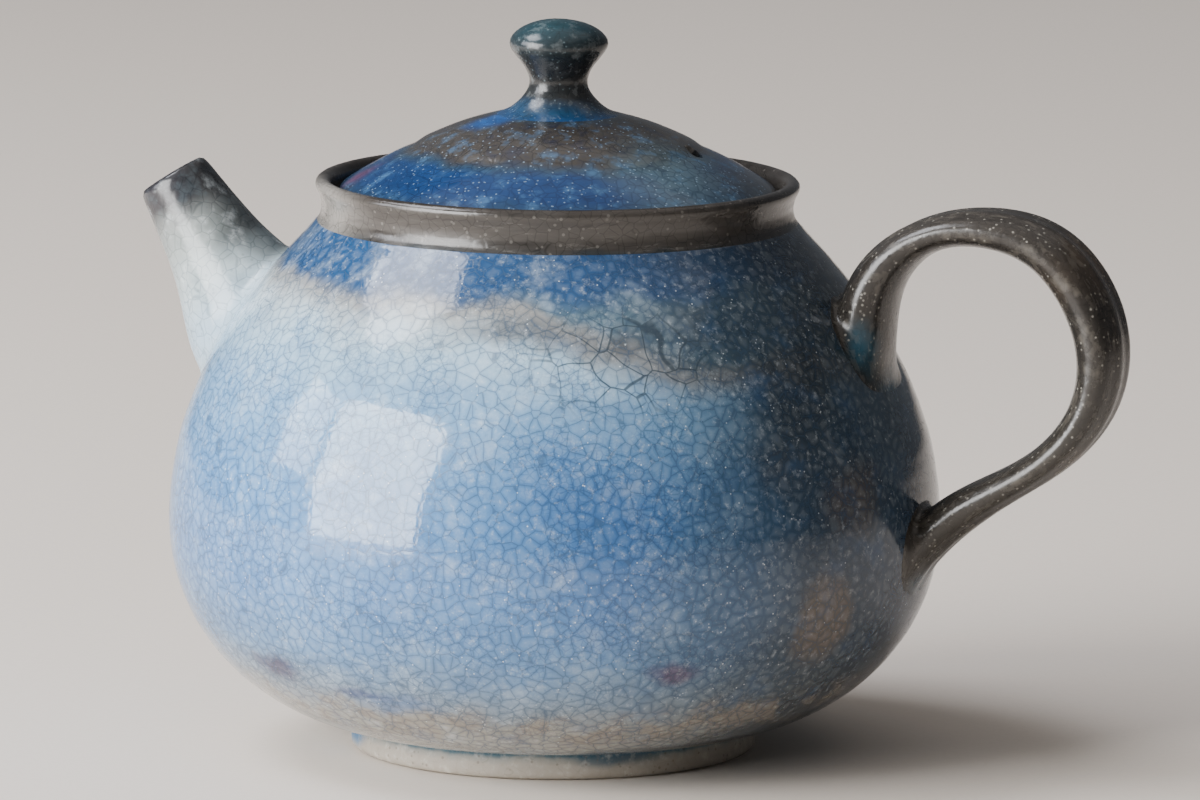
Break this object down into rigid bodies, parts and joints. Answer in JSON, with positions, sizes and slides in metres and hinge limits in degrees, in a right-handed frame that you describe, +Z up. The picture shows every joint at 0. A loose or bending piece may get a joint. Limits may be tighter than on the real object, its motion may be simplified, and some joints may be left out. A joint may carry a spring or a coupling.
{
  "type": "teapot",
  "caption": "Small round-bellied stoneware teapot with a side strap handle, a short straight spout with a sieve behind it, and a loose domed lid with a knob.",
  "frame": {"origin": "where the pot's turning axis meets the table, in the plane of the foot ring's underside", "axes": "+Z up along the turning axis, +X towards the handle, -X towards the spout, +Y away from a viewer who has the handle on the right"},
  "size_m": [0.1343, 0.1008, 0.0957],
  "materials": {
    "body_glaze": "glossy blue crackle glaze",
    "foot_clay": "matt bare stoneware",
    "collar_glaze": "satin grey-brown glaze",
    "spout_glaze": "satin pale grey-blue glaze",
    "handle_glaze": "satin dark grey-brown glaze",
    "lid_glaze": "glossy deep blue and grey glaze",
    "knob_glaze": "satin charcoal glaze with blue",
    "inner_glaze": "glossy pale grey glaze"
  },
  "bodies": {
    "pot": {"body": "body_glaze", "foot_ring": "foot_clay", "collar": "collar_glaze", "spout": "spout_glaze", "spout_joint_coil": "spout_glaze", "strainer": "inner_glaze", "handle": "handle_glaze", "handle_upper_joint_coil": "handle_glaze", "handle_lower_joint_coil": "handle_glaze"},
    "lid": {"lid_plate": "lid_glaze", "lid_flange": "inner_glaze", "knob": "knob_glaze"}
  },
  "joints": [
    {"name": "lid_lift", "type": "slide", "parent": "pot", "child": "lid", "axis": [0, 0, 1], "range_m": [0, 0.05]}
  ]
}
